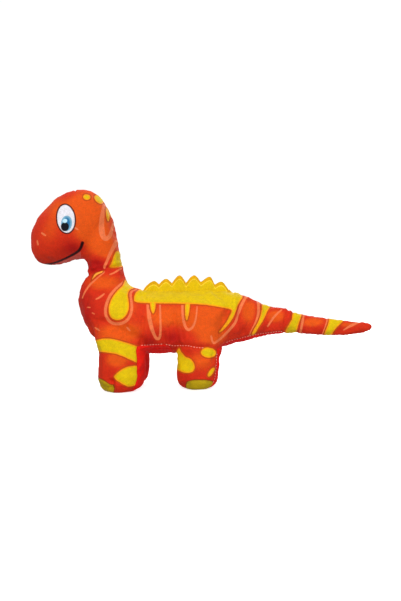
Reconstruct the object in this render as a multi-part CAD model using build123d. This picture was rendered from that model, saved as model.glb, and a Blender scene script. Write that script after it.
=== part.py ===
from build123d import *
import math
import os

os.makedirs("parts", exist_ok=True)

# A printed plush dinosaur standing on four legs. Millimetres, +Z up, nose
# towards -X, tail towards +X, the toy's left side towards -Y. The origin is on
# the ground under the middle of the toy, and the toy is symmetric about Y = 0.

# Sewn fabric and its clearance from the stuffing inside it.
FABRIC = 1.2
STUFFING_INSET = 2
# Half of the clearance between two parts of the body that bend on each other.
HALF_GAP = 0.2
# How square the round cross-sections are: 2 is an ellipse.
ROUND = 2.15
SECTION_POINTS = 8

# Cross-sections of torso and tail: x, lowest z, highest z, half width.
BODY = [
    (-145.5, 99, 119, 9),
    (-139, 76, 127, 24),
    (-122, 54, 130, 36),
    (-90, 43, 122, 42.5),
    (-36, 40, 113.5, 42.5),
    (10, 43, 111.5, 39),
    (44, 50.5, 108, 26),
    (74, 56, 94.5, 18.5),
    (104, 58.5, 86, 14),
    (144, 54, 75, 10.5),
    (182, 54, 69.5, 7.5),
    (200.5, 60, 65, 2.5),
]
# Cross-sections of neck and back of the head: z, front x, back x, half width.
NECK = [
    (104, -142, -86, 30),
    (122, -142.5, -87, 27),
    (141, -134, -93.5, 19.5),
    (160, -139, -95.8, 24),
    (185, -142, -100, 26),
    (208, -139.5, -105.5, 19),
    (222, -132, -113, 8),
]
# Cross-sections of the head: x, lowest z, highest z, half width.
HEAD = [
    (-200.8, 172, 186, 7),
    (-194, 156.5, 203, 20),
    (-180, 150.5, 220, 30),
    (-158, 154, 235, 36),
    (-136, 158, 238, 36.5),
    (-118, 170, 230, 28),
    (-105, 187, 208, 11),
]
# Cross-sections of one leg: z, front x, back x, half thickness.
FRONT_LEG = [
    (0, -110, -83, 10.5),
    (3, -116, -77.5, 14.5),
    (16, -121, -72, 18),
    (46, -121.5, -71, 18),
    (78, -126, -72, 16),
]
REAR_LEG = [
    (0, -20, 5, 10.5),
    (3, -26.5, 10.5, 14.5),
    (16, -32, 15.5, 18),
    (46, -29.5, 20, 18),
    (78, -28, 22, 16),
]
# Distance of the middle of each leg from the middle of the toy.
LEG_Y = 25

# Bends of the stuffed body: pivot position and radius of the rounded end.
HEAD_PIVOT = (-114, 150)
HEAD_BALL = 22
NECK_TURN_Z = 124
TAIL_PIVOT_X = 60
TAIL_ROUND = 25
TIP_PIVOT = (111, 71)
TIP_BALL = 17
FRONT_HIP = (-96.3, 62)
REAR_HIP = (-4.8, 62)
HIP_RADIUS = 30
# Room for a leg that swings 12 degrees each way: offsets from its hip pivot.
SWING_ROOM = [(29, -9.5), (34.2, -34), (42, -75)]
SWING_ROOM_INNER_Y = 6

# Seam between the printed sides and the plain under panels, in side view.
SEAM_LINE = [
    (-130, 46),
    (-75, 52),
    (-45, 52.5),
    (-26, 49),
    (16, 46),
    (30, 52),
    (60, 58),
    (92, 61),
    (101, 56),
]
# The same seam down each leg, in plan: x, distance from the middle of the toy.
LEG_SEAM = [(-128, 16), (-70, 39.5), (-52, 60), (-46, 60), (-34, 14), (22, 38), (30, 60), (110, 60)]

# Crest of rounded teeth on the back seam.
CREST_FRONT_X = -67
CREST_REAR_X = 37
CREST_AXIS_FRONT_Z = 118.2
CREST_AXIS_REAR_Z = 112.8
CREST_FOOT = 1
CREST_WADDING = 3.6
CREST_GAP = 0.1
CREST_EDGE = 2.5
# Tooth peaks and the valleys between them: x, z.
CREST_TEETH = [
    (-55.5, 126, -49, 122.5),
    (-40.5, 128.5, -33.5, 124.5),
    (-24.5, 131, -17.5, 124.5),
    (-8, 131, -0.5, 123),
    (9, 128.5, 15, 119.5),
    (22.5, 122.5, None, None),
]


def ring(centre, across, up, half_across, half_up):
    """A rounded cross-section face around a centre, spanned by two directions."""
    power = 2 / ROUND
    points = []
    for step in range(SECTION_POINTS):
        angle = 2 * math.pi * step / SECTION_POINTS
        c, s = math.cos(angle), math.sin(angle)
        a = math.copysign(abs(c) ** power, c) * half_across
        b = math.copysign(abs(s) ** power, s) * half_up
        points.append(Vector(*centre) + Vector(*across) * a + Vector(*up) * b)
    return make_face(Spline(points, periodic=True))


def inset_station(stations, index, inset):
    """The station's own position, moved inwards at either end of a loft."""
    first, last = stations[0][0], stations[-1][0]
    here = stations[index][0]
    if index == 0:
        return first + inset
    if index == len(stations) - 1:
        return last - inset
    return here


def loft_along_x(stations, inset):
    """Stuffed tube along X through stations of x, lowest z, highest z, half width."""
    faces = []
    for index, (_, low, high, half) in enumerate(stations):
        x = inset_station(stations, index, inset)
        centre = (x, 0, (low + high) / 2)
        faces.append(ring(centre, (0, 1, 0), (0, 0, 1), half - inset, (high - low) / 2 - inset))
    return loft(faces)


def loft_along_z(stations, y, inset):
    """Stuffed tube along Z through stations of z, front x, back x, half width."""
    faces = []
    for index, (_, front, back, half) in enumerate(stations):
        z = inset_station(stations, index, inset)
        centre = ((front + back) / 2, y, z)
        faces.append(ring(centre, (1, 0, 0), (0, 1, 0), (back - front) / 2 - inset, half - inset))
    return loft(faces)


def cylinder_along_y(x, z, radius):
    """Cylinder across the whole toy, its axis along Y."""
    return Pos(x, 0, z) * Rot(90, 0, 0) * Cylinder(radius, 160)


def block(x0, x1, y0, y1, z0, z1):
    """Box between two corners."""
    return Pos((x0 + x1) / 2, (y0 + y1) / 2, (z0 + z1) / 2) * Box(x1 - x0, y1 - y0, z1 - z0)


def prism_along_y(points, y0, y1):
    """Outline of x, z points pushed from y0 to y1."""
    face = make_face(Polyline([Vector(x, y0, z) for x, z in points], close=True))
    return extrude(face, amount=y1 - y0, dir=(0, 1, 0))


def swing_room(hip):
    """Space that the left leg needs under its hip."""
    right = [(hip[0] + dx, hip[1] + dz) for dx, dz in SWING_ROOM]
    left = [(hip[0] - dx, hip[1] + dz) for dx, dz in reversed(SWING_ROOM)]
    room = prism_along_y(right + left, -60, -SWING_ROOM_INNER_Y)
    return room - cylinder_along_y(hip[0], hip[1], HIP_RADIUS)


def body_shapes(inset):
    """Every stuffed part of the toy, grown inwards from the outside by inset."""
    trunk = loft_along_x(BODY, inset)
    neck = loft_along_z(NECK, 0, inset)
    head = loft_along_x(HEAD, inset)
    upper = neck + head
    ball = Pos(HEAD_PIVOT[0], 0, HEAD_PIVOT[1]) * Sphere(HEAD_BALL - HALF_GAP)
    socket = Pos(HEAD_PIVOT[0], 0, HEAD_PIVOT[1]) * Sphere(HEAD_BALL + HALF_GAP)
    above = block(-230, -60, -60, 60, HEAD_PIVOT[1] - 1, 260)
    shapes = {"head": upper & (above + ball)}

    below = block(-230, -60, -60, 60, 60, HEAD_PIVOT[1] - 1)
    column = (trunk & block(-160, -86, -60, 60, 90, 150)) + (neck & below)
    over_turn = block(-160, -60, -60, 60, NECK_TURN_Z + HALF_GAP, HEAD_PIVOT[1])
    under_turn = block(-160, -60, -60, 60, 60, NECK_TURN_Z - HALF_GAP)
    shapes["neck"] = (column & over_turn) - socket

    tip_ball = Pos(TIP_PIVOT[0], 0, TIP_PIVOT[1]) * Sphere(TIP_BALL - HALF_GAP)
    tip_socket = Pos(TIP_PIVOT[0], 0, TIP_PIVOT[1]) * Sphere(TIP_BALL + HALF_GAP)
    beyond_tip = block(TIP_PIVOT[0], 230, -60, 60, 20, 130)
    shapes["tail_tip"] = trunk & (beyond_tip + tip_ball)

    root = Pos(TAIL_PIVOT_X, 0, 80) * Cylinder(TAIL_ROUND - HALF_GAP, 160)
    root_socket = Pos(TAIL_PIVOT_X, 0, 80) * Cylinder(TAIL_ROUND + HALF_GAP, 160)
    middle = block(TAIL_PIVOT_X, TIP_PIVOT[0], -60, 60, 20, 130)
    shapes["tail_base"] = (trunk & (middle + root)) - tip_socket

    ahead = block(-160, TAIL_PIVOT_X, -60, 60, 0, 150)
    torso = (trunk & ahead) - root_socket
    torso = torso - block(-160, -86, -60, 60, NECK_TURN_Z - HALF_GAP, 150)
    torso = torso + (neck & under_turn)
    for hip, stations, name in (
        (FRONT_HIP, FRONT_LEG, "front_leg"),
        (REAR_HIP, REAR_LEG, "rear_leg"),
    ):
        leg = loft_along_z(stations, -LEG_Y, inset)
        room = swing_room(hip)
        stub = leg & cylinder_along_y(hip[0], hip[1], HIP_RADIUS - HALF_GAP)
        torso = torso - room - mirror(room, Plane.XZ) + stub + mirror(stub, Plane.XZ)
        lower = leg & block(-160, 60, -60, 0, -5, hip[1])
        shapes[name] = lower - cylinder_along_y(hip[0], hip[1], HIP_RADIUS + HALF_GAP)
    shapes["torso"] = torso
    return shapes


def crest_outline(inset):
    """Closed side outline of the crest: foot line, rear edge, teeth, front edge."""
    slope = (CREST_AXIS_REAR_Z - CREST_AXIS_FRONT_Z) / (CREST_REAR_X - CREST_FRONT_X)
    foot_front = CREST_AXIS_FRONT_Z - CREST_FOOT + inset
    foot_rear = CREST_AXIS_REAR_Z - CREST_FOOT + inset
    front = Vector(CREST_FRONT_X + inset, 0, foot_front + slope * inset)
    rear = Vector(CREST_REAR_X - inset, 0, foot_rear - slope * inset)
    points = [front]
    for peak_x, peak_z, valley_x, valley_z in CREST_TEETH:
        points.append(Vector(peak_x, 0, peak_z - inset))
        if valley_x is not None:
            points.append(Vector(valley_x, 0, valley_z - inset))
    points.append(rear)
    top = Spline(points)
    return make_face(top + Line(rear, front))


def write(shape, name):
    """Writes one sub-part as STEP."""
    solids = shape.solids()
    if len(solids) != 1:
        print(name, "has", len(solids), "solids", [round(s.volume, 2) for s in solids])
    biggest = max(solids, key=lambda s: s.volume)
    biggest.label = name
    export_step(biggest, "parts/" + name + ".step")


outer = body_shapes(0)
cavity = body_shapes(FABRIC)
stuffing = body_shapes(STUFFING_INSET)

under_plan = [(x, -y) for x, y in LEG_SEAM]
plan_outline = under_plan + [(x, -y) for x, y in reversed(under_plan)]
plan_face = make_face(Polyline([Vector(x, y, 0) for x, y in plan_outline], close=True))
side_outline = SEAM_LINE + [(110, -5), (-135, -5)]
under_region = extrude(plan_face, amount=90) & prism_along_y(side_outline, -60, 60)
halves = {
    "left": block(-230, 230, -80, 0, -10, 260),
    "right": block(-230, 230, 0, 80, -10, 260),
}

for name in ("head", "neck", "torso", "tail_base", "tail_tip"):
    skin = outer[name] - cavity[name]
    for side, half in halves.items():
        panel = skin & half
        if name in ("torso", "tail_base"):
            write(panel & under_region, name + "_under_panel_" + side)
            panel = panel - under_region
        write(panel, name + "_side_panel_" + side)
    write(stuffing[name], name + "_stuffing")

for name in ("front_leg", "rear_leg"):
    skin = outer[name] - cavity[name]
    outside = skin - under_region
    inside = skin & under_region
    for side, flip in (("left", False), ("right", True)):
        for piece, label in (
            (outside, "_outer_panel_"),
            (inside, "_inner_panel_"),
            (stuffing[name], "_stuffing_"),
        ):
            write(mirror(piece, Plane.XZ) if flip else piece, name + label + side)

wadding_face = crest_outline(CREST_EDGE)
fabric_face = crest_outline(0)
wadding = extrude(wadding_face, amount=CREST_WADDING / 2, dir=(0, 1, 0), both=True)
write(wadding, "crest_wadding")
offset = CREST_WADDING / 2 + CREST_GAP
crest_left = Pos(0, -offset, 0) * extrude(fabric_face, amount=FABRIC, dir=(0, -1, 0))
write(crest_left, "crest_face_left")
write(mirror(crest_left, Plane.XZ), "crest_face_right")
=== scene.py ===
import math

import bmesh
import bpy
import numpy as np
from mathutils import Matrix, Vector, noise
from mathutils.bvhtree import BVHTree
from mathutils.kdtree import KDTree


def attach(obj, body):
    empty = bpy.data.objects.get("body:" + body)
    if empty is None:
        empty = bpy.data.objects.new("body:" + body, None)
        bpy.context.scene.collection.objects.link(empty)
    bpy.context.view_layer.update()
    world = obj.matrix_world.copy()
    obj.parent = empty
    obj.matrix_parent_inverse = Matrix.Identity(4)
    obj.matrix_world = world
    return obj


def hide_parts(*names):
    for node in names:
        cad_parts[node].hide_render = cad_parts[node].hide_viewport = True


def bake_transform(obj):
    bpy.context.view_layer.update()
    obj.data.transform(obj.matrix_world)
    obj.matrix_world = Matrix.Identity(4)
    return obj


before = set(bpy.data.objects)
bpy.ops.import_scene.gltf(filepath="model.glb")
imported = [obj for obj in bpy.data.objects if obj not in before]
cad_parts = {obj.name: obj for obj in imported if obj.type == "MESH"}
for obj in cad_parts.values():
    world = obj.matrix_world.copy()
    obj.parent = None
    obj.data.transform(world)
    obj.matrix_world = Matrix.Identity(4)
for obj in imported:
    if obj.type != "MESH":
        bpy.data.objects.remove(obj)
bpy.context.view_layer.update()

# Lengths are in millimetres until they are written to a mesh.
MM = 0.001
# The camera faces the toy's left side squarely, this far from its middle plane.
VIEW_X = -1.5
VIEW_Z = 101.0
VIEW_DISTANCE = 600.0
# Height of the view at the middle plane, and the camera's tilt in degrees.
VIEW_HEIGHT = 721.2
VIEW_ROLL = 2.1

# ------------------------------------------------------------ stuffed shape
# x, lowest z, highest z, half width of trunk and tail.
BODY = [
    (-146, 101, 117, 6), (-144.5, 94, 122, 13), (-141, 83, 126, 20), (-134, 67, 130, 29),
    (-118, 53, 131, 37.5), (-96, 44, 127, 42), (-84, 42, 120.5, 43), (-70, 40.5, 115.5, 43),
    (-52, 40, 114, 42.5), (-36, 40, 113.5, 42.5), (0, 41.5, 112, 41), (24, 45.5, 111, 34.5),
    (40, 49.5, 109.5, 28), (48, 51, 107.5, 25.5), (56, 52, 104, 23), (66, 54.5, 99, 20.5),
    (74, 56, 94.5, 18.5), (90, 57.5, 89.5, 16), (100, 58.3, 88, 15), (106, 58.4, 85, 13.6),
    (120, 57, 80, 12), (144, 54, 75, 10.5), (168, 53.5, 71, 9), (184, 54, 69.3, 7.6),
    (195, 55.2, 68.2, 6), (201, 57.5, 66.8, 4), (203.8, 60, 65, 2),
]
# z, front x, back x, half width of neck and back of the head.
NECK = [
    (100, -143, -86, 30), (112, -145, -85, 29.5), (118, -145, -85.5, 28.5), (124, -142.5, -87.8, 26.5),
    (132, -137, -91.3, 22.5), (141, -134, -93.5, 19.8), (147, -134, -94.3, 20.2), (152, -135.5, -95, 21.5),
    (160, -139, -95.9, 24), (175, -142, -98.4, 27), (192, -142, -101.2, 25.5), (206, -140, -104.8, 21),
    (217, -136, -109.3, 14), (223, -132, -114, 8),
]
# x, lowest z, highest z, half width of the head.
HEAD = [
    (-200.4, 174, 183, 5), (-199.6, 166, 188, 10), (-197.3, 159, 194.5, 15.5), (-191.5, 153, 205, 22.5),
    (-184, 150.2, 214, 28), (-176, 150.3, 221.5, 31.5), (-168, 151, 228.2, 34), (-160, 153, 232.8, 36),
    (-150, 155.8, 237, 37), (-142, 156.3, 238, 37), (-134, 158, 238.3, 36), (-126, 163, 236.3, 33),
    (-120, 168, 232.3, 29.5), (-114, 174, 225.5, 25), (-107, 185, 212, 16), (-103.5, 192, 203, 7),
]
# z, front x, back x, half width of each leg.
FRONT_LEG = [
    (0, -108, -82, 11), (1.2, -112.5, -78, 13), (3.5, -116.5, -74.5, 15), (9, -120, -71, 17.3),
    (22, -121.5, -68.5, 18.4), (44, -121.5, -68, 18.4), (62, -124, -69, 18.5), (78, -126, -73, 16),
]
REAR_LEG = [
    (0, -19, 4, 11), (1.2, -23.5, 7.5, 13), (3.5, -27, 10.5, 15), (9, -30.5, 14.5, 17.3),
    (20, -32, 17, 18.2), (32, -30, 18.8, 18.3), (44, -29, 20.8, 18.5), (62, -30, 23, 18.5),
    (78, -28, 22, 16),
]
LEG_Y = 25.0
# A power of 2 gives elliptical sections, and a higher one squarer sections.
SECTION_POWER = 2.15
STATION_STEP = 2.5
SKIN_VOXEL = 2.2
CLOTH_VOXEL = 4.2
# The legs stand flat up to this height.
SOLE_HEIGHT = 4


def bell(distance, width):
    """1 at no distance, fading to 0 beyond the width."""
    return np.exp(-((distance / width) ** 2))


def spot(places, centre, reach):
    """1 at a centre, fading to 0 beyond its reach along each axis."""
    return np.exp(-np.sum(((places - centre) / reach) ** 2, 1))


def along(stations, step):
    """Stations run through a smooth curve, about one row every step millimetres."""
    rows = np.array(stations, float)
    out = []
    for i in range(len(rows) - 1):
        p0, p1 = rows[max(i - 1, 0)], rows[i]
        p2, p3 = rows[i + 1], rows[min(i + 2, len(rows) - 1)]
        count = max(1, int(abs(p2[0] - p1[0]) / step))
        m1 = (p2 - p0) / max(abs(p2[0] - p0[0]), 1e-6) * abs(p2[0] - p1[0])
        m2 = (p3 - p1) / max(abs(p3[0] - p1[0]), 1e-6) * abs(p2[0] - p1[0])
        for k in range(count):
            t = k / count
            a, b = 2 * t**3 - 3 * t**2 + 1, t**3 - 2 * t**2 + t
            c, d = -2 * t**3 + 3 * t**2, t**3 - t**2
            out.append(a * p1 + b * m1 + c * p2 + d * m2)
    out.append(rows[-1])
    return np.array(out)


def ring_faces(rings, count, first=0):
    """Quads around a tube of rings with count points each."""
    faces = []
    for r in range(rings - 1):
        here = first + r * count
        ahead = here + count
        for k in range(count):
            n = (k + 1) % count
            faces.append((here + k, here + n, ahead + n, ahead + k))
    return faces


def tube(stations, axis, y=0.0, count=56):
    """Closed tube through stations, along x or along z. Returns points and faces."""
    rows = along(stations, STATION_STEP)
    angle = np.linspace(0, 2 * math.pi, count, endpoint=False)
    ca = np.sign(np.cos(angle)) * np.abs(np.cos(angle)) ** (2 / SECTION_POWER)
    sa = np.sign(np.sin(angle)) * np.abs(np.sin(angle)) ** (2 / SECTION_POWER)
    rings = []
    for s, a, b, half in rows:
        mid, span = (a + b) / 2, (b - a) / 2
        if axis == "x":
            rings.append(np.stack([np.full(count, s), y + half * ca, mid + span * sa], 1))
        else:
            rings.append(np.stack([mid + span * ca, y + half * sa, np.full(count, s)], 1))
    faces = ring_faces(len(rings), count)
    points = np.concatenate(rings + [[rings[0].mean(0), rings[-1].mean(0)]])
    last_ring = (len(rings) - 1) * count
    start, end = len(points) - 2, len(points) - 1
    for k in range(count):
        n = (k + 1) % count
        faces.append((n, k, start))
        faces.append((last_ring + k, last_ring + n, end))
    return points, faces


def mesh_object(name, points, faces):
    """Mesh object from points in millimetres."""
    data = bpy.data.meshes.new(name)
    data.from_pydata((np.asarray(points) * MM).tolist(), [], faces)
    data.update()
    made = bpy.data.objects.new(name, data)
    bpy.context.scene.collection.objects.link(made)
    return made


def shade_smooth(data):
    """Smooth shading on every face of a mesh."""
    data.polygons.foreach_set("use_smooth", np.ones(len(data.polygons), bool))


def fix_normals(ob):
    """Turns every face outwards."""
    bm = bmesh.new()
    bm.from_mesh(ob.data)
    bmesh.ops.recalc_face_normals(bm, faces=bm.faces)
    bm.to_mesh(ob.data)
    bm.free()


def baked(ob, kind, **settings):
    """Applies one modifier to the object."""
    modifier = ob.modifiers.new("step", kind)
    for key, value in settings.items():
        setattr(modifier, key, value)
    graph = bpy.context.evaluated_depsgraph_get()
    data = bpy.data.meshes.new_from_object(ob.evaluated_get(graph))
    ob.modifiers.clear()
    old = ob.data
    ob.data = data
    bpy.data.meshes.remove(old)


def coords(ob):
    """Vertex positions in millimetres."""
    flat = np.empty(len(ob.data.vertices) * 3, np.float32)
    ob.data.vertices.foreach_get("co", flat)
    return flat.reshape(-1, 3).astype(float) / MM


def set_coords(ob, points):
    """Writes vertex positions given in millimetres."""
    ob.data.vertices.foreach_set("co", (points * MM).astype(np.float32).ravel())
    ob.data.update()


def vertex_normals(ob):
    """Vertex normals."""
    flat = np.empty(len(ob.data.vertices) * 3, np.float32)
    ob.data.vertex_normals.foreach_get("vector", flat)
    return flat.reshape(-1, 3).astype(float)


def edge_pairs(ob):
    """Edges as two index columns."""
    flat = np.empty(len(ob.data.edges) * 2, np.int32)
    ob.data.edges.foreach_get("vertices", flat)
    return flat.reshape(-1, 2)


def smoothed(points, edges, rounds, strength):
    """Each point moved towards its neighbours' mean, strength from 0 to 1 per point."""
    a, b = edges[:, 0], edges[:, 1]
    degree = np.bincount(edges.ravel(), minlength=len(points)).astype(float)[:, None]
    strength = np.broadcast_to(np.asarray(strength, float), (len(points),))[:, None]
    points = points.copy()
    for _ in range(rounds):
        total = np.zeros_like(points)
        for axis in range(points.shape[1]):
            total[:, axis] += np.bincount(a, points[b, axis], len(points))
            total[:, axis] += np.bincount(b, points[a, axis], len(points))
        points += strength * (total / degree - points)
    return points


def stuffed_body():
    """One closed skin around trunk, neck, head and legs."""
    parts = [tube(BODY, "x"), tube(NECK, "z"), tube(HEAD, "x")]
    for stations in (FRONT_LEG, REAR_LEG):
        for side in (-1, 1):
            parts.append(tube(stations, "z", side * LEG_Y))
    points, faces, offset = [], [], 0
    for part_points, part_faces in parts:
        points.append(part_points)
        faces += [tuple(i + offset for i in f) for f in part_faces]
        offset += len(part_points)
    skin = mesh_object("skin", np.concatenate(points), faces)
    fix_normals(skin)
    baked(skin, "REMESH", mode="VOXEL", voxel_size=SKIN_VOXEL * MM, adaptivity=0.0)
    points, edges = coords(skin), edge_pairs(skin)
    leg_roots = bell(points[:, 2] - 52, 16) * (points[:, 0] < 60)
    throat = spot(points[:, [0, 2]], (-136, 154), (12, 9))
    points = smoothed(points, edges, 6, 0.5)
    points = smoothed(points, edges, 14, 0.6 * np.clip(leg_roots + throat, 0, 1))
    set_coords(skin, points)
    baked(skin, "SUBSURF", levels=1)
    return skin


CLOTH = {
    "quality": 6, "mass": 0.25, "tension_stiffness": 12, "compression_stiffness": 12, "shear_stiffness": 6,
    "bending_stiffness": 0.4, "use_pressure": True, "uniform_pressure_force": 4, "shrink_min": -0.07,
}
CLOTH_FRAMES = 20
# How far from a seam the cloth is still held, and the most that it may move the skin.
HELD_WIDTH = 3.5
CLOTH_LIMIT = 2.2
# Share of the cloth's moves taken away on the taut cheeks, above this height.
CHEEK_CALM = 0.7
CHEEK_FROM = 150


def blown_up(cover, held):
    """Vertex positions of the cover after its run as cloth, held where held is near 1."""
    group = cover.vertex_groups.new(name="held")
    for index in np.nonzero(held > 0.05)[0]:
        group.add([int(index)], float(held[index]), "REPLACE")
    cloth = cover.modifiers.new("cloth", "CLOTH")
    cloth.settings.vertex_group_mass = "held"
    for name, value in CLOTH.items():
        setattr(cloth.settings, name, value)
    cloth.settings.effector_weights.gravity = 0
    cloth.point_cache.frame_start = 1
    cloth.point_cache.frame_end = CLOTH_FRAMES
    for number in range(1, CLOTH_FRAMES + 1):
        bpy.context.scene.frame_set(number)
    graph = bpy.context.evaluated_depsgraph_get()
    result = cover.evaluated_get(graph).data
    flat = np.empty(len(result.vertices) * 3, np.float32)
    result.vertices.foreach_get("co", flat)
    bpy.context.scene.frame_set(1)
    return flat.reshape(-1, 3) / MM


def cloth_moves(skin):
    """Fabric held at its seams and pushed out by the filling, run as cloth on a coarser copy.

    Returns how far each point of the skin goes in or out, without the general swelling.
    """
    cover = bpy.data.objects.new("cover", skin.data.copy())
    bpy.context.scene.collection.objects.link(cover)
    baked(cover, "REMESH", mode="VOXEL", voxel_size=CLOTH_VOXEL * MM, adaptivity=0.0)
    start, normals, edges = coords(cover), vertex_normals(cover), edge_pairs(cover)
    seam = np.minimum(np.abs(under_distance(start)), np.abs(start[:, 1]))
    held = np.maximum(bell(seam, HELD_WIDTH), np.clip(1 - start[:, 2] / SOLE_HEIGHT, 0, 1))
    out = np.sum((blown_up(cover, held) - start) * normals, 1)[:, None]
    out -= smoothed(out, edges, 12, 0.8)
    out = smoothed(out, edges, 1, 0.5)[:, 0]
    cheek = np.clip((start[:, 2] - CHEEK_FROM) / 10, 0, 1) * (1 - bell(start[:, 1], 11))
    out = np.clip(out, -CLOTH_LIMIT, CLOTH_LIMIT) * (1 - CHEEK_CALM * cheek)
    near = KDTree(len(start))
    for index, point in enumerate(start):
        near.insert(point, index)
    near.balance()
    moves = []
    for point in coords(skin):
        found = near.find_n(point, 4)
        weights = [1 / (far + 0.5) ** 2 for _, _, far in found]
        moves.append(sum(w * out[i] for w, (_, i, _) in zip(weights, found)) / sum(weights))
    bpy.data.objects.remove(cover)
    return np.array(moves)


# ------------------------------------------------------------ print outlines
# The print is laid out as x, z on a flat side view at the toy's middle plane.
SADDLE = [
    (-69, 140), (-69, 118.8), (-75, 116.3), (-79, 113), (-81, 107.8), (-81, 102), (-61.5, 99.8),
    (-31.5, 98.8), (-1.5, 96.8), (18.5, 93), (36.5, 89.2), (33.5, 82), (29, 74), (23, 66.5), (18.5, 61),
    (25.5, 65.5), (32.5, 73), (37.5, 80.5), (41, 88), (44.5, 96), (50, 104.5), (47.5, 109), (45, 114),
    (45, 140),
]
TEARDROP = [
    (-74, 121), (-80, 126), (-90, 131), (-94.1, 121.9), (-99.6, 117.5), (-105.1, 111.4), (-109.4, 104.9),
    (-111.9, 97), (-111.9, 89.2), (-108.8, 83.5), (-102.2, 80.9), (-95.5, 82.4), (-90, 88.2), (-87.4, 96.1),
    (-87.8, 104.1), (-88.6, 110.8), (-87.4, 115.4), (-84.2, 117.8), (-79.5, 118.9),
]
YELLOW = [
    SADDLE, TEARDROP,
    # Two drips under the saddle.
    [(-62.2, 102), (-61.4, 92), (-58.8, 86.5), (-56.4, 92), (-55.2, 102)],
    [(-20.2, 99), (-20.4, 84), (-19, 76.5), (-16.4, 84), (-13.8, 99)],
    # Patch at the back of the neck.
    [(-109.9, 144.3), (-105.6, 152.1), (-103.1, 159.4), (-100.5, 164), (-92, 164.5), (-84, 158),
     (-86, 146), (-99.9, 144.6)],
    # Band and leaf of the front leg, and drop of the rear leg.
    [(-127.4, 58), (-120, 59.6), (-109.5, 59), (-99, 55.9), (-88.6, 52.2), (-77, 47.5), (-68, 44), (-68, 24),
     (-81.2, 29.7), (-87.5, 32.8), (-95.9, 37), (-104.3, 40.7), (-114.8, 42.8), (-125.3, 44.4),
     (-134, 45), (-134, 58)],
    [(-109, 13.9), (-100.1, 21.3), (-91.7, 24.8), (-83.3, 25.6), (-70, 25), (-70, 3), (-85.4, 2),
     (-91.7, 0.8), (-99.1, 4.5), (-105.4, 9.2)],
    [(-29.3, 45.5), (-26.7, 40.2), (-22.5, 33.9), (-16.2, 31.8), (-12.2, 26.5), (-11.2, 20.2), (-14.1, 15.8),
     (-19.3, 14.6), (-25.6, 15.6), (-31, 18.6), (-38, 19), (-38, 36), (-32, 40.5)],
    # Three bands of the tail.
    [(72, 100), (86, 100), (82.5, 91), (79, 87), (75.5, 80), (72.5, 74), (66.5, 66), (61, 57), (57.5, 57),
     (62, 65), (66.5, 72), (70, 80), (72, 88)],
    [(109.5, 86), (121, 86), (118, 76), (113.8, 66), (111, 54), (97, 54), (100.5, 64), (104.5, 70),
     (108, 76)],
    [(153.5, 80), (176, 78), (167, 68.5), (158.5, 61), (152, 50), (143.5, 50), (147.5, 60), (151.2, 68)],
    # Leaf behind the head.
    [(-111, 217.5), (-108, 214), (-106.3, 206), (-108.6, 199), (-111, 205)],
]
# Yellow print of the toes. Its olive yellow and brown outline are darker copies of the print's yellow and
# outline: painted shade under the feet.
TOES = [
    [(-142, 14), (-125.6, 12), (-121, 9.2), (-114.8, 5), (-110.4, 1), (-110, -14), (-142, -14)],
    [(-22.5, 0.3), (-20.4, 4.5), (-12, 5.8), (0.6, 5.3), (9, 3.6), (10.5, 0), (10.5, -16), (-22.5, -16)],
]
# Round spots: centre x, z, half length, half width, tilt in degrees.
YELLOW_OVALS = [
    (-133.3, 230, 4.2, 3.2, -8), (-118.8, 226.8, 6.4, 3.9, -45), (5.8, 38.1, 9.0, 5.8, -6),
    (8.2, 14.6, 6.2, 2.4, 52),
]
# The eye and what is in it, in the same form.
EYE_OVALS = {
    "eye": (-159.2, 204.8, 17.5, 11.2, 94),
    "iris": (-158.7, 199.4, 9.2, 6.4, 84),
    "pupil": (-160.8, 195.4, 5.3, 4.8, 90),
    "glint": (-160.6, 202.4, 2.9, 2.3, 20),
}
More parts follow.
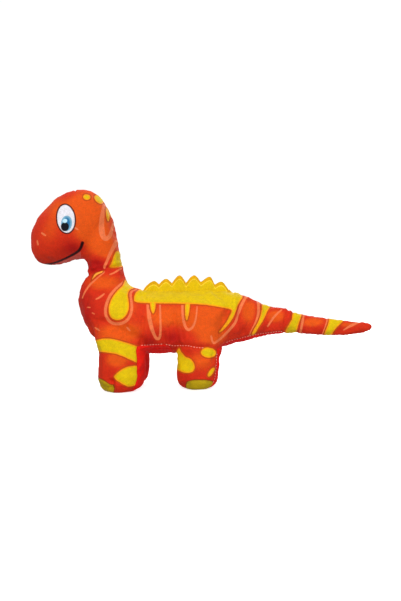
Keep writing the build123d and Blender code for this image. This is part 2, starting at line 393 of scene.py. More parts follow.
# Strokes: their points, and the widths along them.
SALMON = [
    # Around the saddle's end, then around its two drips.
    ([(57, 108), (50, 99), (45.3, 88), (42, 79), (38.5, 71.8), (28.5, 60.8), (16.5, 50.8), (11.6, 48.3),
      (9.8, 57.5)], (2.6, 2.4, 1.6)),
    ([(-64.4, 98), (-64, 84), (-61.5, 70.5), (-58, 60), (-54.4, 55.5), (-51, 60), (-50.3, 79), (-50.3, 98)],
     (3.6, 4.2, 2.6, 1.6, 1.6)),
    ([(-23, 97.5), (-23.3, 83.2), (-22, 72.7), (-18.3, 65.6), (-13, 68), (-9.4, 73.7), (-6.7, 84.2),
      (-6, 94)], (3.0, 2.4, 0.8)),
    # Around the teardrop.
    ([(-74, 117.2), (-80, 117.2), (-83.6, 115.6), (-85.5, 110.7), (-84.6, 104), (-83.8, 95.9), (-85.7, 86.7),
      (-91.4, 78.9), (-100.8, 75.9), (-110.1, 78.2), (-115.2, 84.8), (-116.5, 93.1), (-114.6, 101.1),
      (-110.2, 110.3), (-104.7, 116.7), (-97.8, 122.5), (-91, 127.5), (-86, 131)], (2.2, 3.0, 2.8)),
    # Beside the patch of the neck, and around the leaf behind the head.
    ([(-99.5, 175), (-104, 168), (-108.5, 160), (-112.5, 151), (-115.5, 145)], (4.6, 3.2, 2.2)),
    ([(-112.8, 219), (-115.8, 208), (-117, 196), (-116.6, 184), (-113, 178.5), (-107.5, 181.5),
      (-104.8, 189), (-103, 197)], (3.4, 6.4, 2.0)),
    # Beside the bands of the tail, and along its end.
    ([(67.5, 102), (68, 90), (67, 80), (63.3, 70), (57.5, 60.5), (55, 55)], (3.0, 2.6, 1.8)),
    ([(95, 86), (88.5, 81), (83.5, 75), (78, 67)], (1.2, 2.0, 1.2)),
    ([(121.5, 84), (121, 79), (119.6, 70), (117.5, 61), (116, 55)], (2.6, 2.4, 2.0)),
    ([(151.5, 77), (149.3, 68), (146.3, 60), (142.5, 52)], (2.6, 2.4, 2.2)),
    ([(189, 68.5), (178.5, 64.8), (169, 59.5)], (1.6, 2.6, 1.0)),
    # Across the neck and the chest.
    ([(-109.3, 136.1), (-103.9, 137.8), (-99.4, 140.5), (-95, 143)], (0.8, 1.6, 1.0)),
    ([(-143, 109), (-141.3, 113.4), (-137.1, 120.3), (-130.1, 127.8), (-122.3, 134.4), (-115.8, 139.5)],
     (0.8, 1.6, 1.2)),
    # Short strokes of the face, the chest and the shoulder.
    ([(-189, 189), (-184.5, 185.8)], (1.2, 1.8, 1.2)),
    ([(-195, 180), (-194, 175)], (1.0, 1.4, 1.0)),
    ([(-150, 194.5), (-145.5, 191.5)], (1.0, 1.8, 1.0)),
    ([(-126.6, 107.3), (-121.9, 109.3), (-116.8, 113.2)], (1.0, 1.8, 1.0)),
    ([(-137.5, 98), (-134, 97.4)], (0.5, 1.0, 0.5)),
    ([(-132, 91), (-129.5, 89.6)], (0.5, 0.9, 0.5)),
    ([(-129, 73), (-124, 69.5)], (0.8, 1.6, 0.8)),
    ([(-91, 72), (-87.5, 68)], (1.0, 1.8, 1.0)),
]
MOUTH = ([(-186.5, 151.3), (-180, 151.8), (-173.5, 153), (-167.5, 155), (-159.5, 158.2), (-152.5, 161.6),
          (-147, 164.6), (-144, 167.5), (-142, 171), (-140.6, 175.4)], (1.4, 1.9, 3.4))
# Where the paler underside of the jaw shows below the mouth.
JAW_X = (-184, -143)
JAW_Z = (140, 165)
# Thin orange sliver under the fold of the neck.
SLIVER = [
    (-133, 128.6), (-129.4, 134.8), (-124.1, 138.9), (-115.2, 141.6), (-118.4, 138.9), (-124.4, 136.4),
    (-129.8, 132.6),
]
# Orange over the red ground, 0 to 1: x, z, half length, half height, strength. It is partly the print's
# airbrushed orange and partly painted light in the middles of the head, body, legs and tail; negative
# strengths are painted shade on the lower head and throat, in the neck crease, on the chest's edge and in the
# creases beside the legs.
WARM_GROUND = 0.34
ORANGE_LIGHT_AND_SHADE = [
    (-128, 200, 22, 34, 1.0), (-137, 222, 16, 12, 0.7), (-112, 168, 12, 14, 0.75), (-116, 126, 20, 9, 0.75),
    (-100, 66, 24, 11, 1.0), (-92, 100, 16, 16, 0.5), (-44, 84, 22, 14, 0.75), (4, 78, 26, 18, 1.0),
    (-104, 34, 13, 9, 0.85), (10, 56, 14, 8, 0.7), (-4, 28, 16, 12, 0.6), (56, 86, 8, 13, 0.9),
    (88, 79, 10, 7, 0.8), (132, 70, 14, 5, 0.85), (174, 65.5, 10, 3.5, 0.6), (-178, 196, 14, 14, 0.3),
    (-150, 170, 14, 9, -0.35), (-124, 148, 14, 9, -0.6), (-140, 95, 8, 26, -0.25), (-34, 58, 12, 9, -0.3),
    (-66, 58, 9, 8, -0.25), (-168, 218, 20, 14, 0.45), (-186, 178, 16, 18, 0.15),
]


def side_view(points):
    """Positions laid on the flat side view of the print."""
    scale = VIEW_DISTANCE / (VIEW_DISTANCE - np.abs(points[:, 1]))
    u = VIEW_X + (points[:, 0] - VIEW_X) * scale
    v = VIEW_Z + (points[:, 2] - VIEW_Z) * scale
    return np.stack([u, v], 1)


def rounded(outline, rounds=2):
    """Closed outline with its corners cut."""
    p = np.array(outline, float)
    for _ in range(rounds):
        n = np.roll(p, -1, 0)
        p = np.stack([0.8 * p + 0.2 * n, 0.2 * p + 0.8 * n], 1).reshape(-1, 2)
    return p


def outline_distance(q, outline):
    """Signed distance to a closed outline, negative inside."""
    p = rounded(outline)
    best = np.full(len(q), np.inf)
    inside = np.zeros(len(q), bool)
    for i in range(len(p)):
        a, b = p[i - 1], p[i]
        e, w = b - a, q - a
        t = np.clip((w @ e) / max(e @ e, 1e-9), 0, 1)
        best = np.minimum(best, np.hypot(*(w - t[:, None] * e).T))
        crosses = (a[1] > q[:, 1]) != (b[1] > q[:, 1])
        if a[1] != b[1]:
            inside ^= crosses & (q[:, 0] < (b[0] - a[0]) * (q[:, 1] - a[1]) / (b[1] - a[1]) + a[0])
    return np.where(inside, -best, best)


def oval_distance(q, oval):
    """About the signed distance to an ellipse, negative inside."""
    x, z, length, width, tilt = oval
    c, s = math.cos(math.radians(tilt)), math.sin(math.radians(tilt))
    d = q - (x, z)
    a, b = (d[:, 0] * c + d[:, 1] * s) / length, (-d[:, 0] * s + d[:, 1] * c) / width
    r = np.hypot(a, b)
    g = np.hypot(a / length, b / width)
    return (r - 1) * r / np.maximum(g, 1e-6)


def stroke_distance(q, stroke):
    """Signed distance to a stroke of varying width, negative inside."""
    points, widths = stroke
    p = np.array(points, float)
    for _ in range(2):
        mid = np.stack([0.75 * p[:-1] + 0.25 * p[1:], 0.25 * p[:-1] + 0.75 * p[1:]], 1).reshape(-1, 2)
        p = np.concatenate([p[:1], mid, p[-1:]])
    run = np.concatenate([[0], np.cumsum(np.hypot(*np.diff(p, axis=0).T))])
    half = np.interp(run / run[-1], np.linspace(0, 1, len(widths)), widths) / 2
    best = np.full(len(q), np.inf)
    for i in range(len(p) - 1):
        a, e = p[i], p[i + 1] - p[i]
        w = q - a
        t = np.clip((w @ e) / max(e @ e, 1e-9), 0, 1)
        off = np.hypot(*(w - t[:, None] * e).T)
        best = np.minimum(best, off - (half[i] * (1 - t) + half[i + 1] * t))
    return best


# Seam of the under panels: x and its height, then x and how far out it lies.
SEAM_LINE = [(-130, 46), (-75, 52), (-45, 52.5), (-26, 49), (16, 46), (30, 52), (60, 58), (92, 61), (101, 56)]
LEG_SEAM = [(-128, 16), (-70, 39.5), (-52, 60), (-46, 60), (-34, 14), (22, 38), (30, 60), (110, 60)]


def under_distance(points):
    """Distance to the seam of the plain under panels, negative inside them."""
    zs = np.interp(points[:, 0], *np.array(SEAM_LINE, float).T, left=-90, right=-90)
    ys = np.interp(points[:, 0], *np.array(LEG_SEAM, float).T)
    return np.maximum(points[:, 2] - zs, np.abs(points[:, 1]) - ys)


def smooth_noise(points, size, seed):
    """Noise from -1 to 1 with blobs of about the given size in millimetres."""
    elsewhere = Vector((seed * 7.3, seed * 3.1, seed * 5.7))
    return np.array([noise.noise(Vector(p) / size + elsewhere) for p in points])


# Folds in the fabric: points x, z on the side view, depth, width.
FOLDS = [
    ([(-137, 136), (-128, 141.3), (-118, 143.6), (-110, 144.2), (-102, 145.3), (-97, 146.3)], 1.9, 1.8),
    ([(-134, 129.5), (-122, 136.5), (-112, 140.2), (-103, 141.2)], 1.2, 2.2),
    ([(-126, 126), (-112, 134), (-100, 135)], 0.6, 2.6),
    ([(104.5, 88), (102, 82), (99, 72), (98, 63)], 1.5, 1.8),
    ([(109, 86), (108, 78)], 0.9, 2.0),
    ([(-71, 82), (-72, 66), (-75, 51)], 1.4, 2.0),
    ([(-66, 78), (-67, 64), (-70, 50)], 1.1, 1.6),
    ([(-61, 66), (-62, 52)], 0.8, 1.4),
    ([(-46, 64), (-46, 52)], 0.7, 1.4),
    ([(-41, 70), (-40.5, 52)], 1.0, 1.5),
    ([(-33, 84), (-33, 68), (-29, 50)], 1.5, 2.2),
    ([(-37, 74), (-36.5, 54)], 0.9, 1.5),
    ([(-27, 72), (-24, 56)], 0.8, 1.6),
    ([(-32, 47), (-18, 47.5), (-8, 44.5), (4, 44)], 1.4, 3.0),
    ([(47, 104), (44, 88), (46, 70), (51, 57)], 1.3, 3.2),
    ([(58, 98), (61, 82), (58, 64)], 0.6, 2.8),
    ([(-147, 239.5), (-147.6, 226.5)], 1.1, 1.0),
    ([(38.5, 110), (38.6, 100), (37.6, 90)], 0.7, 1.0),
    ([(-70.5, 116), (-70, 109), (-66, 103)], 0.7, 1.2),
    ([(-111, 8), (-110, -6)], 2.4, 2.2),
    ([(-84, 46), (-77, 40), (-76, 30)], 0.7, 2.4),
    ([(-20, 2), (-12, 4.6), (0, 4.2), (9, 2.6)], 0.6, 1.2),
]


# Where the fabric is crowded and wrinkles: centre and reach on the side view.
CROWDED = [((-66, 62), (12, 18)), ((-30, 60), (12, 18)), ((-112, 140), (22, 12))]


def folded(q):
    """Creases, each with a soft swell beside it."""
    move = np.zeros(len(q))
    for line, depth, width in FOLDS:
        d = np.maximum(stroke_distance(q, (line, (0, 0))), 0)
        move += -depth * bell(d, width) + 0.35 * depth * bell(d - 2.2 * width, width)
    return move


def sewn(gap, depth, width, pucker, phase):
    """Groove of a seam, with puckers that fade away from it."""
    return -depth * bell(gap, width) + pucker * np.sin(phase) * np.exp(-gap / 5.0)


def tailored(skin):
    """Seams, folds and lumps of the sewn fabric. Returns where each point lies on the side view."""
    points, normals = coords(skin), vertex_normals(skin)
    x, y, z = points.T
    q = side_view(points)
    move = folded(q)
    under_gap = np.abs(under_distance(points))
    phase = 2 * math.pi * x / 5.2 + 2.2 * smooth_noise(points, 14, 3)
    move += sewn(under_gap, 1.1, 1.2, 0.25, phase)
    above_belly = np.exp(-(((x + 50) / 22) ** 4)) * (z > 45)
    gathers = np.sin(2 * math.pi * x / 4.6 + 1.6 * smooth_noise(points, 10, 8))
    move += 0.4 * gathers * above_belly * np.exp(-under_gap / 7.0)
    # No groove is cut along the middle of the belly.
    middle_gap = np.abs(y) + 60 * ((z < 60) & (x > -70) & (x < 30))
    phase = 2 * math.pi * (x + z) / 5.6 + 2.2 * smooth_noise(points, 12, 5)
    move += sewn(middle_gap, 0.7, 1.1, 0.22 + 0.2 * (x < -150), phase)
    lumps = smooth_noise(points, 26, 1)
    wrinkles = smooth_noise(points * (1.0, 1.0, 0.45), 7, 2)
    crowded = sum(spot(q, centre, reach) for centre, reach in CROWDED)
    move += 0.55 * lumps + (0.12 + 0.5 * np.clip(crowded, 0, 1)) * wrinkles
    move *= np.clip(z / SOLE_HEIGHT, 0, 1)
    points = points + normals * move[:, None]
    points[:, 2] = np.maximum(points[:, 2], 0.0)
    set_coords(skin, points)
    return q


def put(ob, name, values):
    """Stores one number per vertex, for a material to read."""
    attribute = ob.data.attributes.new(name, "FLOAT", "POINT")
    attribute.data.foreach_set("value", np.asarray(values, np.float32))


def printed(skin, q):
    """Stores the print as distances to its outlines."""
    points = coords(skin)
    yellow = [outline_distance(q, o) for o in YELLOW] + [oval_distance(q, o) for o in YELLOW_OVALS]
    put(skin, "yellow", np.min(yellow, 0))
    put(skin, "shaded_toe_print", np.min([outline_distance(q, o) for o in TOES], 0))
    put(skin, "salmon", np.min([stroke_distance(q, s) for s in SALMON], 0) - 0.35)
    put(skin, "sliver", outline_distance(q, SLIVER))
    put(skin, "mouth", stroke_distance(q, MOUTH))
    for name, oval in EYE_OVALS.items():
        put(skin, name, oval_distance(q, oval))
    put(skin, "under", under_distance(points))
    # This warmth is the print's orange mixed with painted light in the middles of the forms and painted shade
    # under the head and in the creases.
    warmth_light_and_shade = np.full(len(points), WARM_GROUND)
    for x, z, length, height, strength in ORANGE_LIGHT_AND_SHADE:
        warmth_light_and_shade += strength * spot(q, (x, z), (length, height))
    warmth_light_and_shade += 0.12 * smooth_noise(points, 18, 9)
    put(skin, "warmth_light_and_shade", np.clip(warmth_light_and_shade, 0, 1))
    jaw = np.all((q > (JAW_X[0], JAW_Z[0])) & (q < (JAW_X[1], JAW_Z[1])), 1)
    mouth_height = np.interp(q[:, 0], *np.array(MOUTH[0], float).T)
    put(skin, "jaw", jaw * np.clip((mouth_height - q[:, 1]) / 2.0, 0, 1))


# ------------------------------------------------------------ materials
def srgb(text):
    """Linear colour from a six-digit hex."""
    values = [int(text[i:i + 2], 16) / 255 for i in (0, 2, 4)]
    linear = [v / 12.92 if v <= 0.04045 else ((v + 0.055) / 1.055) ** 2.4 for v in values]
    return (*linear, 1.0)


def grey(level):
    """Neutral colour of one level."""
    return (level, level, level, 1.0)


class Nodes:
    """Small helper that adds and links shader nodes."""

    def __init__(self, name):
        self.material = bpy.data.materials.new(name)
        self.material.use_nodes = True
        self.tree = self.material.node_tree
        self.shader = self.tree.nodes["Principled BSDF"]

    def add(self, kind, **settings):
        node = self.tree.nodes.new(kind)
        for key, value in settings.items():
            setattr(node, key, value)
        return node

    def link(self, a, b):
        self.tree.links.new(a, b)

    def surface(self, **inputs):
        """Sets inputs of the shader, named with _ for a space."""
        for name, value in inputs.items():
            self.shader.inputs[name.replace("_", " ")].default_value = value

    def bump(self, height, strength, distance):
        node = self.add("ShaderNodeBump")
        node.inputs["Strength"].default_value = strength
        node.inputs["Distance"].default_value = distance
        self.link(height, node.inputs["Height"])
        self.link(node.outputs["Normal"], self.shader.inputs["Normal"])

    def number(self, name):
        return self.add("ShaderNodeAttribute", attribute_name=name).outputs["Fac"]

    def step(self, value, edge0, edge1):
        node = self.add("ShaderNodeMapRange", interpolation_type="SMOOTHSTEP")
        node.inputs["From Min"].default_value = edge0
        node.inputs["From Max"].default_value = edge1
        self.link(value, node.inputs["Value"])
        return node.outputs["Result"]

    def mix(self, factor, a, b, blend="MIX"):
        node = self.add("ShaderNodeMix", data_type="RGBA", blend_type=blend)
        if isinstance(factor, float):
            node.inputs["Factor"].default_value = factor
        else:
            self.link(factor, node.inputs["Factor"])
        for value, socket in ((a, node.inputs["A"]), (b, node.inputs["B"])):
            if isinstance(value, tuple):
                socket.default_value = value
            else:
                self.link(value, socket)
        return node.outputs["Result"]

    def math(self, operation, a, b):
        node = self.add("ShaderNodeMath", operation=operation)
        for value, socket in ((a, node.inputs[0]), (b, node.inputs[1])):
            if isinstance(value, (int, float)):
                socket.default_value = value
            else:
                self.link(value, socket)
        return node.outputs["Value"]

    def noise(self, scale, detail=3.0):
        where = self.add("ShaderNodeTexCoord")
        node = self.add("ShaderNodeTexNoise")
        node.inputs["Scale"].default_value = scale
        node.inputs["Detail"].default_value = detail
        self.link(where.outputs["Object"], node.inputs["Vector"])
        return node.outputs["Fac"]


def plush(n, colour, sheen=0.045):
    """Short soft pile: colour flecks, nap, bump and sheen."""
    pile = n.noise(1500.0, 3.0)
    nap = n.noise(260.0, 4.0)
    patch = n.noise(45.0, 3.0)
    for cells, edges, dark, light in (
        (pile, (0.35, 0.68), (0.87, 0.86, 0.86, 1.0), grey(1.1)),
        (nap, (0.3, 0.7), (0.94, 0.93, 0.93, 1.0), grey(1.05)),
        (patch, (0.3, 0.7), (0.97, 0.96, 0.96, 1.0), grey(1.03)),
    ):
        colour = n.mix(1.0, colour, n.mix(n.step(cells, *edges), dark, light), "MULTIPLY")
    n.link(colour, n.shader.inputs["Base Color"])
    n.bump(n.math("ADD", n.math("MULTIPLY", pile, 0.45), nap), 0.4, 0.0006)
    rough = n.add("ShaderNodeMapRange")
    rough.inputs["To Min"].default_value = 0.62
    rough.inputs["To Max"].default_value = 0.88
    n.link(nap, rough.inputs["Value"])
    n.link(rough.outputs["Result"], n.shader.inputs["Roughness"])
    n.surface(Specular_IOR_Level=0.1, Sheen_Weight=sheen, Sheen_Roughness=0.4)
    n.surface(Sheen_Tint=(1.0, 0.55, 0.4, 1.0))
    return n.material


# Colours laid over each other: number, its values where the colour starts and is full, colour.
FABRIC_INKS = (
    ("salmon", 0.35, -0.35, "F67C4A"),
    ("sliver", 1.3, 0.6, "B8400A"), ("sliver", 0.2, -0.4, "FFA838"),
    ("yellow", 2.1, 1.3, "C84A08"), ("yellow", 0.45, -0.15, "FFA810"), ("yellow", -0.9, -1.8, "E8C600"),
    # The toes take darker copies of the yellow and its outline, as painted shade on the print.
    ("shaded_toe_print", 1.4, 0.8, "9A3A06"), ("shaded_toe_print", 0.3, -0.4, "BC9E09"),
)
FACE_INKS = (
    ("mouth", 0.7, 0.0, "6A0A06"), ("mouth", 0.0, -0.5, "220204"),
    ("eye", 1.1, 0.5, "4A1410"), ("eye", -0.5, -1.2, "F1EEF6"),
)
IRIS_INKS = (("pupil", 0.4, -0.3, "060A14"), ("glint", 0.5, -0.4, "C4ECFA"))


def printed_plush():
    """Orange-red ground with yellow shapes, outlines, salmon strokes and the face."""
    n = Nodes("printed_plush")
    warmth_light_and_shade = n.number("warmth_light_and_shade")
    # The ground goes from deep red to orange with the warmth, so it carries painted light and shade along
    # with the print's orange.
    colour = n.mix(n.step(warmth_light_and_shade, 0.0, 0.45), srgb("BC140E"), srgb("DC3010"))
    colour = n.mix(n.step(warmth_light_and_shade, 0.4, 1.0), colour, srgb("EC580E"))
    colour = n.mix(n.number("jaw"), colour, srgb("DC5A4C"))
    blur = n.math("MULTIPLY", n.math("SUBTRACT", n.noise(420.0, 2.0), 0.5), 0.5)
    for name, start, full, ink in FABRIC_INKS:
        blurred = n.math("ADD", n.number(name), blur)
        colour = n.mix(n.step(blurred, start, full), colour, srgb(ink))
    for name, start, full, ink in FACE_INKS:
        colour = n.mix(n.step(n.number(name), start, full), colour, srgb(ink))
    iris = n.number("iris")
    blue = n.mix(n.step(iris, -3.6, -0.6), srgb("2A78AC"), srgb("7DB6D2"))
    colour = n.mix(n.step(iris, 0.7, -0.4), colour, blue)
    for name, start, full, ink in IRIS_INKS:
        colour = n.mix(n.step(n.number(name), start, full), colour, srgb(ink))
    red = n.mix(n.step(n.noise(60.0, 3.0), 0.3, 0.7), srgb("E2100A"), srgb("F4200F"))
    colour = n.mix(n.step(n.number("under"), 0.35, -0.1), colour, red)
    return plush(n, colour)


# How far below the crest's edge its line of quilting runs.
QUILTING_INSET = 5.0


def crest_plush():
    """Yellow crest with a pale wavy line of quilting and warmer tips."""
    n = Nodes("crest_plush")
    edge = n.number("edge")
    colour = n.mix(n.step(edge, 4.4, 5.4), srgb("E4B000"), srgb("E8C600"))
    quilting = n.math("ABSOLUTE", n.math("SUBTRACT", edge, QUILTING_INSET), 0.0)
    colour = n.mix(n.step(quilting, 0.95, 0.25), colour, srgb("FFE23C"))
    colour = n.mix(n.math("MULTIPLY", n.number("tips"), 0.28), colour, srgb("F4A400"))
    return plush(n, colour, 0.05)


def thread_material():
    """Twisted polyester sewing thread."""
    n = Nodes("seam_thread")
    twist = n.noise(2600.0, 2.0)
    colour = n.mix(n.step(twist, 0.35, 0.65), srgb("EE7460"), srgb("FFB8A4"))
    n.link(colour, n.shader.inputs["Base Color"])
    n.bump(twist, 0.5, 0.0002)
    n.surface(Roughness=0.5)
    return n.material


# ------------------------------------------------------------ pieces
# The neck starts at one plane and the head at another: a point on each, and its normal.
NECK_START = np.array((-116.0, 0.0, 120.5))
NECK_UP = np.array((-0.156, 0.0, 0.988))
HEAD_START = np.array((-114.0, 0.0, 133.2))
HEAD_UP = np.array((-0.2195, 0.0, 0.9756))
# The head's fabric reaches this far below its plane.
HEAD_LAP = 1.2
SHOULDER_X = -70
TAIL_ROOT_X = 35
TAIL_BEND_X = 84
LEG_SPANS = {"front_leg": (-134, -58), "rear_leg": (-46, 32)}
LEG_TOP = 38.0
# Fabric nearer the middle plane than this belongs to the belly.
BELLY_HALF = 3.0
ZONES = (
    "torso", "neck", "head", "tail_base", "tail_tip",
    "front_leg_left", "front_leg_right", "rear_leg_left", "rear_leg_right",
)


def zones(points):
    """Which part of the body each position belongs to, as an index into ZONES."""
    x, y, z = points.T
    zone = np.zeros(len(points), int)
    front = x < SHOULDER_X
    zone[front & ((points - NECK_START) @ NECK_UP > 0)] = ZONES.index("neck")
    zone[front & ((points - HEAD_START) @ HEAD_UP > -HEAD_LAP)] = ZONES.index("head")
    zone[x > TAIL_ROOT_X] = ZONES.index("tail_base")
    zone[x > TAIL_BEND_X] = ZONES.index("tail_tip")
    for leg, (start, end) in LEG_SPANS.items():
        inside = (z < LEG_TOP) & (x > start) & (x < end) & (np.abs(y) > BELLY_HALF)
        zone[inside & (y < 0)] = ZONES.index(leg + "_left")
        zone[inside & (y > 0)] = ZONES.index(leg + "_right")
    return zone


def region(skin, name, keep):
    """Copy of the skin holding only some faces, shaded as the whole skin is."""
    bm = bmesh.new()
    bm.from_mesh(skin.data)
    bm.faces.ensure_lookup_table()
    drop = [bm.faces[i] for i in np.nonzero(~keep)[0]]
    bmesh.ops.delete(bm, geom=drop, context="FACES")
    data = bpy.data.meshes.new(name)
    bm.to_mesh(data)
    bm.free()
    made = bpy.data.objects.new(name, data)
    bpy.context.scene.collection.objects.link(made)
    shade_smooth(data)
    stored = np.empty(len(data.vertices) * 3, np.float32)
    data.attributes["whole_normal"].data.foreach_get("vector", stored)
    data.normals_split_custom_set_from_vertices(stored.reshape(-1, 3).tolist())
    data.attributes.remove(data.attributes["whole_normal"])
    return made


def metres(point):
    """A point given in millimetres, turned into metres."""
    return tuple(float(v) * MM for v in point)


def settle(piece, zone):
    """Joins a torso piece to the torso body; a piece of any other part only has its placement baked into its
    mesh.
    """
    if zone == "torso":
        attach(piece, "torso")
    elif zone == "neck":
        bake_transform(piece)
    elif zone == "head":
        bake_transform(piece)
    elif zone == "tail_base":
        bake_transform(piece)
    elif zone == "tail_tip":
        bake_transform(piece)
    else:
        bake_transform(piece)


def panels(zone, here, under, right):
    """Names of a zone's fabric panels, with the faces that each one has."""
    if "leg" in zone:
        leg, side = zone.rsplit("_", 1)
        return {f"{leg}_outer_panel_{side}": here & ~under, f"{leg}_inner_panel_{side}": here & under}
    found = {}
    for side, half in (("left", here & ~right), ("right", here & right)):
        if zone in ("torso", "tail_base"):
            found[f"{zone}_side_panel_{side}"] = half & ~under
            found[f"{zone}_under_panel_{side}"] = half & under
        else:
            found[f"{zone}_side_panel_{side}"] = half
    return found


def filling(zone):
    """Name of the node that holds a zone's filling."""
    if "leg" in zone:
        leg, side = zone.rsplit("_", 1)
        return f"{leg}_stuffing_{side}"
    return zone + "_stuffing"


def stuffed_pieces(skin, material):
    """Splits the skin into fabric panels; those of the torso follow its body."""
    stored = skin.data.attributes.new("whole_normal", "FLOAT_VECTOR", "POINT")
    stored.data.foreach_set("vector", vertex_normals(skin).astype(np.float32).ravel())
    flat = np.empty(len(skin.data.polygons) * 3, np.float32)
    skin.data.polygons.foreach_get("center", flat)
    centres = flat.reshape(-1, 3).astype(float) / MM
    zone_of = zones(centres)
    under = under_distance(centres) < 0
    right = centres[:, 1] > 0
    for index, zone in enumerate(ZONES):
        # The first panel of a zone stands for its filling too.
        also_covered = [filling(zone)]
        for label, faces in panels(zone, zone_of == index, under, right).items():
            piece = region(skin, "plush_" + label, faces)
            piece.data.materials.append(material)
            settle(piece, zone)
            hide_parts(label, *also_covered)
            also_covered = []
    bpy.data.objects.remove(skin)


STITCH_PITCH = 3.1
STITCH_LENGTH = 2.1
THREAD_RADIUS = 0.48
THREAD_SIDES = 8
# Needle holes further apart than this, across a hollow, have no stitch.
STITCH_REACH = 6
# Rings of a stitch: share of its length, and share of the full radius.
STITCH_RINGS = ((0, 0.15), (0.12, 0.75), (0.3, 1), (0.7, 1), (0.88, 0.75), (1, 0.15))
# Stitches run along the seam line over these stretches of x, and between them over the rear leg.
SEAM_STRETCHES = ((-71, -31), (26, 99))
OVER_REAR_LEG = [(-29, 50.7), (-17, 51.0), (-7.5, 48.6), (3.6, 47.9)]
# Rays start this far out at the sides and behind the rear legs.
SIDE_START = 90
BACK_START = 60


def stitch_rays():
    """Rows of rays towards the skin, one for each needle hole."""
    rows = []
    for side in (-1, 1):
        runs = []
        for start, end in SEAM_STRETCHES:
            xs = np.arange(start, end, STITCH_PITCH)
            runs.append((xs, np.interp(xs, *np.array(SEAM_LINE, float).T) + 0.6))
        xs = np.arange(-33.8, 3, STITCH_PITCH)
        runs.append((xs, np.interp(xs, *np.array(OVER_REAR_LEG, float).T)))
        for xs, zs in runs:
            rows.append([((x, side * SIDE_START, z), (0, -side, 0)) for x, z in zip(xs, zs)])
        leg = np.array(REAR_LEG, float)
        zs = np.arange(7, 44, STITCH_PITCH)
        xs = np.interp(zs, leg[:, 0], leg[:, 2]) - 4
        ys = np.interp(xs, *np.array(LEG_SEAM, float).T) + 0.5
        rows.append([((BACK_START, side * y, z), (-1, 0, 0)) for y, z in zip(ys, zs)])
    return rows


def needle_holes(tree, rays):
    """Points where rays land on the skin, with its normals there."""
    found = []
    for start, direction in rays:
        hit, normal, _, _ = tree.ray_cast(Vector(start) * MM, Vector(direction))
        if hit is not None:
            found.append((np.array(hit) / MM, np.array(normal)))
    return found


def stitch(hole, next_hole, normal):
    """Points of one stitch, ring by ring, with its ends sunk into the fabric."""
    step = next_hole - hole
    forward = step / np.linalg.norm(step)
    across = np.cross(normal, forward)
    across /= np.linalg.norm(across)
    up = np.cross(forward, across)
    start = hole + step * 0.5 - forward * STITCH_LENGTH / 2 + normal * 0.2
    angles = np.arange(THREAD_SIDES) * 2 * math.pi / THREAD_SIDES
    circle = np.cos(angles)[:, None] * across + np.sin(angles)[:, None] * up
    rings = []
    for t, share in STITCH_RINGS:
        sag = -0.35 * (2 * t - 1) ** 2
        middle = start + forward * STITCH_LENGTH * t + normal * sag
        rings.append(middle + THREAD_RADIUS * share * circle)
    return np.concatenate(rings)


def stitches(tree, material):
    """Thread stitches along the under seams and up the backs of the rear legs."""
    groups = {}
    for rays in stitch_rays():
        holes = needle_holes(tree, rays)
        for (hole, normal), (next_hole, _) in zip(holes[:-1], holes[1:]):
            if np.linalg.norm(next_hole - hole) > STITCH_REACH:
                continue
            zone = ZONES[int(zones(np.array([hole]))[0])]
            groups.setdefault(zone, []).append(stitch(hole, next_hole, normal))
    size = THREAD_SIDES * len(STITCH_RINGS)
    for zone, shapes in groups.items():
        faces = []
        for first in range(0, len(shapes) * size, size):
            faces += ring_faces(len(STITCH_RINGS), THREAD_SIDES, first)
            faces.append(tuple(reversed(range(first, first + THREAD_SIDES))))
            faces.append(tuple(range(first + size - THREAD_SIDES, first + size)))
        made = mesh_object("seam_stitches_" + zone, np.concatenate(shapes), faces)
        fix_normals(made)
        shade_smooth(made.data)
        made.data.materials.append(material)
        settle(made, zone)


# Peaks and hollows of the crest's edge, after its two ends: x, z.
TEETH = [
    (-71, 113.4), (-67.5, 119.5), (-56.3, 126.6), (-50.6, 122.6), (-41.8, 128.8), (-35.0, 123.4),
    (-25.3, 132.2), (-18.0, 122.9), (-8.0, 131.8), (-0.4, 123.4), (10.6, 129.2), (16.4, 119.8),
    (24.0, 122.8), (32.5, 113.0), (37.5, 108.5),
]
CREST_ROOT = [(-71, 111.5), (-52, 110), (-36, 109.5), (0, 108.5), (24, 107.5), (37.5, 105.5)]
CREST_HALF = 4.3
CREST_COLUMNS = 220
CREST_ROWS = 22
# Height where the warmer tips begin, and how far they take to reach full colour.
TIPS_FROM = 121
TIPS_FADE = 9


def tooth_line(x):
    """Height of the crest's wavy edge."""
    xs, zs = np.array(TEETH, float).T
    i = np.clip(np.searchsorted(xs, x) - 1, 0, len(xs) - 2)
    t = np.clip((x - xs[i]) / (xs[i + 1] - xs[i]), 0, 1)
    rising = zs[i + 1] > zs[i]
    low_share = np.where(rising, t, 1 - t)
    ease = (0.5 - 0.5 * np.cos(math.pi * low_share)) ** 0.6
    ease = np.where(rising, ease, 1 - ease)
    # The edge starts straight, and its first tooth swells up like a shoulder.
    ease = np.where(i == 0, t, ease)
    ease = np.where(i == 1, np.sin(t * math.pi / 2), ease)
    return zs[i] + (zs[i + 1] - zs[i]) * ease


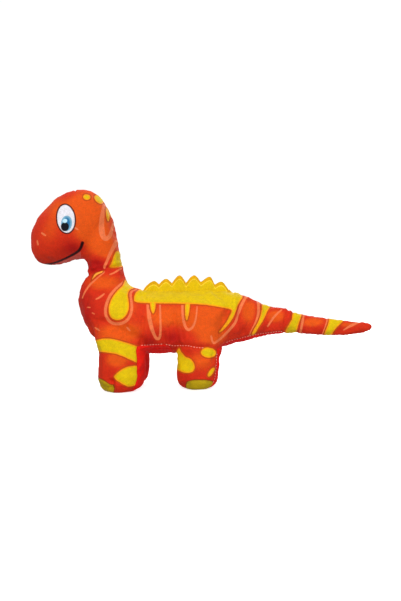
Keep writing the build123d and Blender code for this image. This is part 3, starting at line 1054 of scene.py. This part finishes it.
def crest(material):
    """Soft padded fin of rounded teeth standing on the back seam."""
    first, last = TEETH[0][0], TEETH[-1][0]
    x = np.linspace(first, last, CREST_COLUMNS)
    edge = tooth_line(x)
    root = np.interp(x, *np.array(CREST_ROOT, float).T)
    ends = np.clip(np.minimum(x - first, last - x) / 7, 0, 1) ** 0.5
    points, below_edge, tips = [], [], []
    for side in (-1, 1):
        for rise in np.linspace(0, 1, CREST_ROWS):
            z = root + (edge - root) * rise
            full = CREST_HALF * ends * (1 - 0.45 * rise) * np.sqrt(np.clip(1 - rise**6, 0, 1))
            quilting = 1 + 0.10 * np.cos(2 * math.pi * (x + 25.3) / 16.4) * rise
            points.append(np.stack([x, side * full * quilting, z], 1))
            below_edge.append((edge - root) * (1 - rise))
            tips.append(np.clip((z - TIPS_FROM) / TIPS_FADE, 0, 1))
    faces = []
    for s in range(2):
        for r in range(CREST_ROWS - 1):
            for c in range(CREST_COLUMNS - 1):
                a = (s * CREST_ROWS + r) * CREST_COLUMNS + c
                quad = (a, a + 1, a + CREST_COLUMNS + 1, a + CREST_COLUMNS)
                faces.append(quad if s == 0 else quad[::-1])
    made = mesh_object("plush_crest", np.concatenate(points), faces)
    put(made, "edge", np.concatenate(below_edge))
    put(made, "tips", np.concatenate(tips))
    bm = bmesh.new()
    bm.from_mesh(made.data)
    bmesh.ops.remove_doubles(bm, verts=bm.verts, dist=0.02 * MM)
    bm.to_mesh(made.data)
    bm.free()
    points, normals = coords(made), vertex_normals(made)
    lumps = smooth_noise(points, 9, 21) * 0.35 + smooth_noise(points, 4, 22) * 0.15
    set_coords(made, points + normals * lumps[:, None])
    shade_smooth(made.data)
    made.data.materials.append(material)
    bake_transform(made)
    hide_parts("crest_face_left", "crest_face_right", "crest_wadding")


# ------------------------------------------------------------ stage
FLOOR_RADIUS = 1700
BEND_RADIUS = 700
WALL_TOP = 3500
# The floor lies this far under the soles.
FLOOR_GAP = 0.3
# Name, position, size in metres and power in watts.
LAMPS = (
    ("key", (-0.45, -1.3, 0.95), 0.7, 13.0),
    ("fill", (0.9, -1.2, 0.5), 0.8, 5),
    ("top", (0.1, 0.2, 1.6), 0.9, 6),
    ("rear", (0.4, 1.3, 0.9), 0.8, 11),
    ("bounce", (0.15, -0.8, -0.3), 0.7, 2.0),
)


def backdrop():
    """Pale round floor that curves up into a wall on every side."""
    profile = [(0.001, 0), (FLOOR_RADIUS, 0)]
    bends = 12
    for k in range(1, bends + 1):
        a = math.pi / 2 * k / bends
        profile.append((FLOOR_RADIUS + BEND_RADIUS * math.sin(a), BEND_RADIUS - BEND_RADIUS * math.cos(a)))
    profile.append((FLOOR_RADIUS + BEND_RADIUS, WALL_TOP))
    count = 64
    points = []
    for radius, z in profile:
        for k in range(count):
            a = 2 * math.pi * k / count
            points.append((radius * math.cos(a), radius * math.sin(a), z - FLOOR_GAP))
    sweep = mesh_object("sweep", points, ring_faces(len(profile), count))
    shade_smooth(sweep.data)
    paper = Nodes("paper")
    paper.surface(Base_Color=grey(0.88), Roughness=0.9, Emission_Color=grey(1), Emission_Strength=0.7)
    sweep.data.materials.append(paper.material)
    sweep.visible_diffuse = False
    sweep.visible_shadow = False
    return sweep


def lights():
    """White studio with five soft lamps aimed at the toy."""
    world = bpy.data.worlds.new("studio")
    bpy.context.scene.world = world
    world.use_nodes = True
    sky = world.node_tree.nodes["Background"].inputs
    sky["Color"].default_value = grey(1)
    sky["Strength"].default_value = 0.26
    for name, place, size, power in LAMPS:
        light = bpy.data.lights.new(name, "AREA")
        light.energy = power
        light.size = size
        lamp = bpy.data.objects.new(name, light)
        lamp.location = place
        aim = Vector((0, 0, 0.1)) - Vector(place)
        lamp.rotation_euler = aim.to_track_quat("-Z", "Y").to_euler()
        bpy.context.scene.collection.objects.link(lamp)


def camera():
    """Camera square to the toy's left side."""
    data = bpy.data.cameras.new("camera")
    data.lens = data.sensor_width * VIEW_DISTANCE / VIEW_HEIGHT
    data.clip_start = 0.01
    made = bpy.data.objects.new("camera", data)
    upright = Matrix.Rotation(math.pi / 2, 4, "X")
    roll = Matrix.Rotation(math.radians(VIEW_ROLL), 4, "Y")
    place = metres((VIEW_X, -VIEW_DISTANCE, VIEW_Z))
    made.matrix_world = Matrix.Translation(place) @ roll @ upright
    bpy.context.scene.collection.objects.link(made)
    bpy.context.scene.camera = made
    bpy.context.scene.view_settings.view_transform = "Standard"


skin = stuffed_body()
moves = cloth_moves(skin)
set_coords(skin, coords(skin) + vertex_normals(skin) * moves[:, None])
side_places = tailored(skin)
printed(skin, side_places)
whole = bmesh.new()
whole.from_mesh(skin.data)
tree = BVHTree.FromBMesh(whole)
whole.free()
stitches(tree, thread_material())
stuffed_pieces(skin, printed_plush())
crest(crest_plush())
backdrop()
lights()
camera()
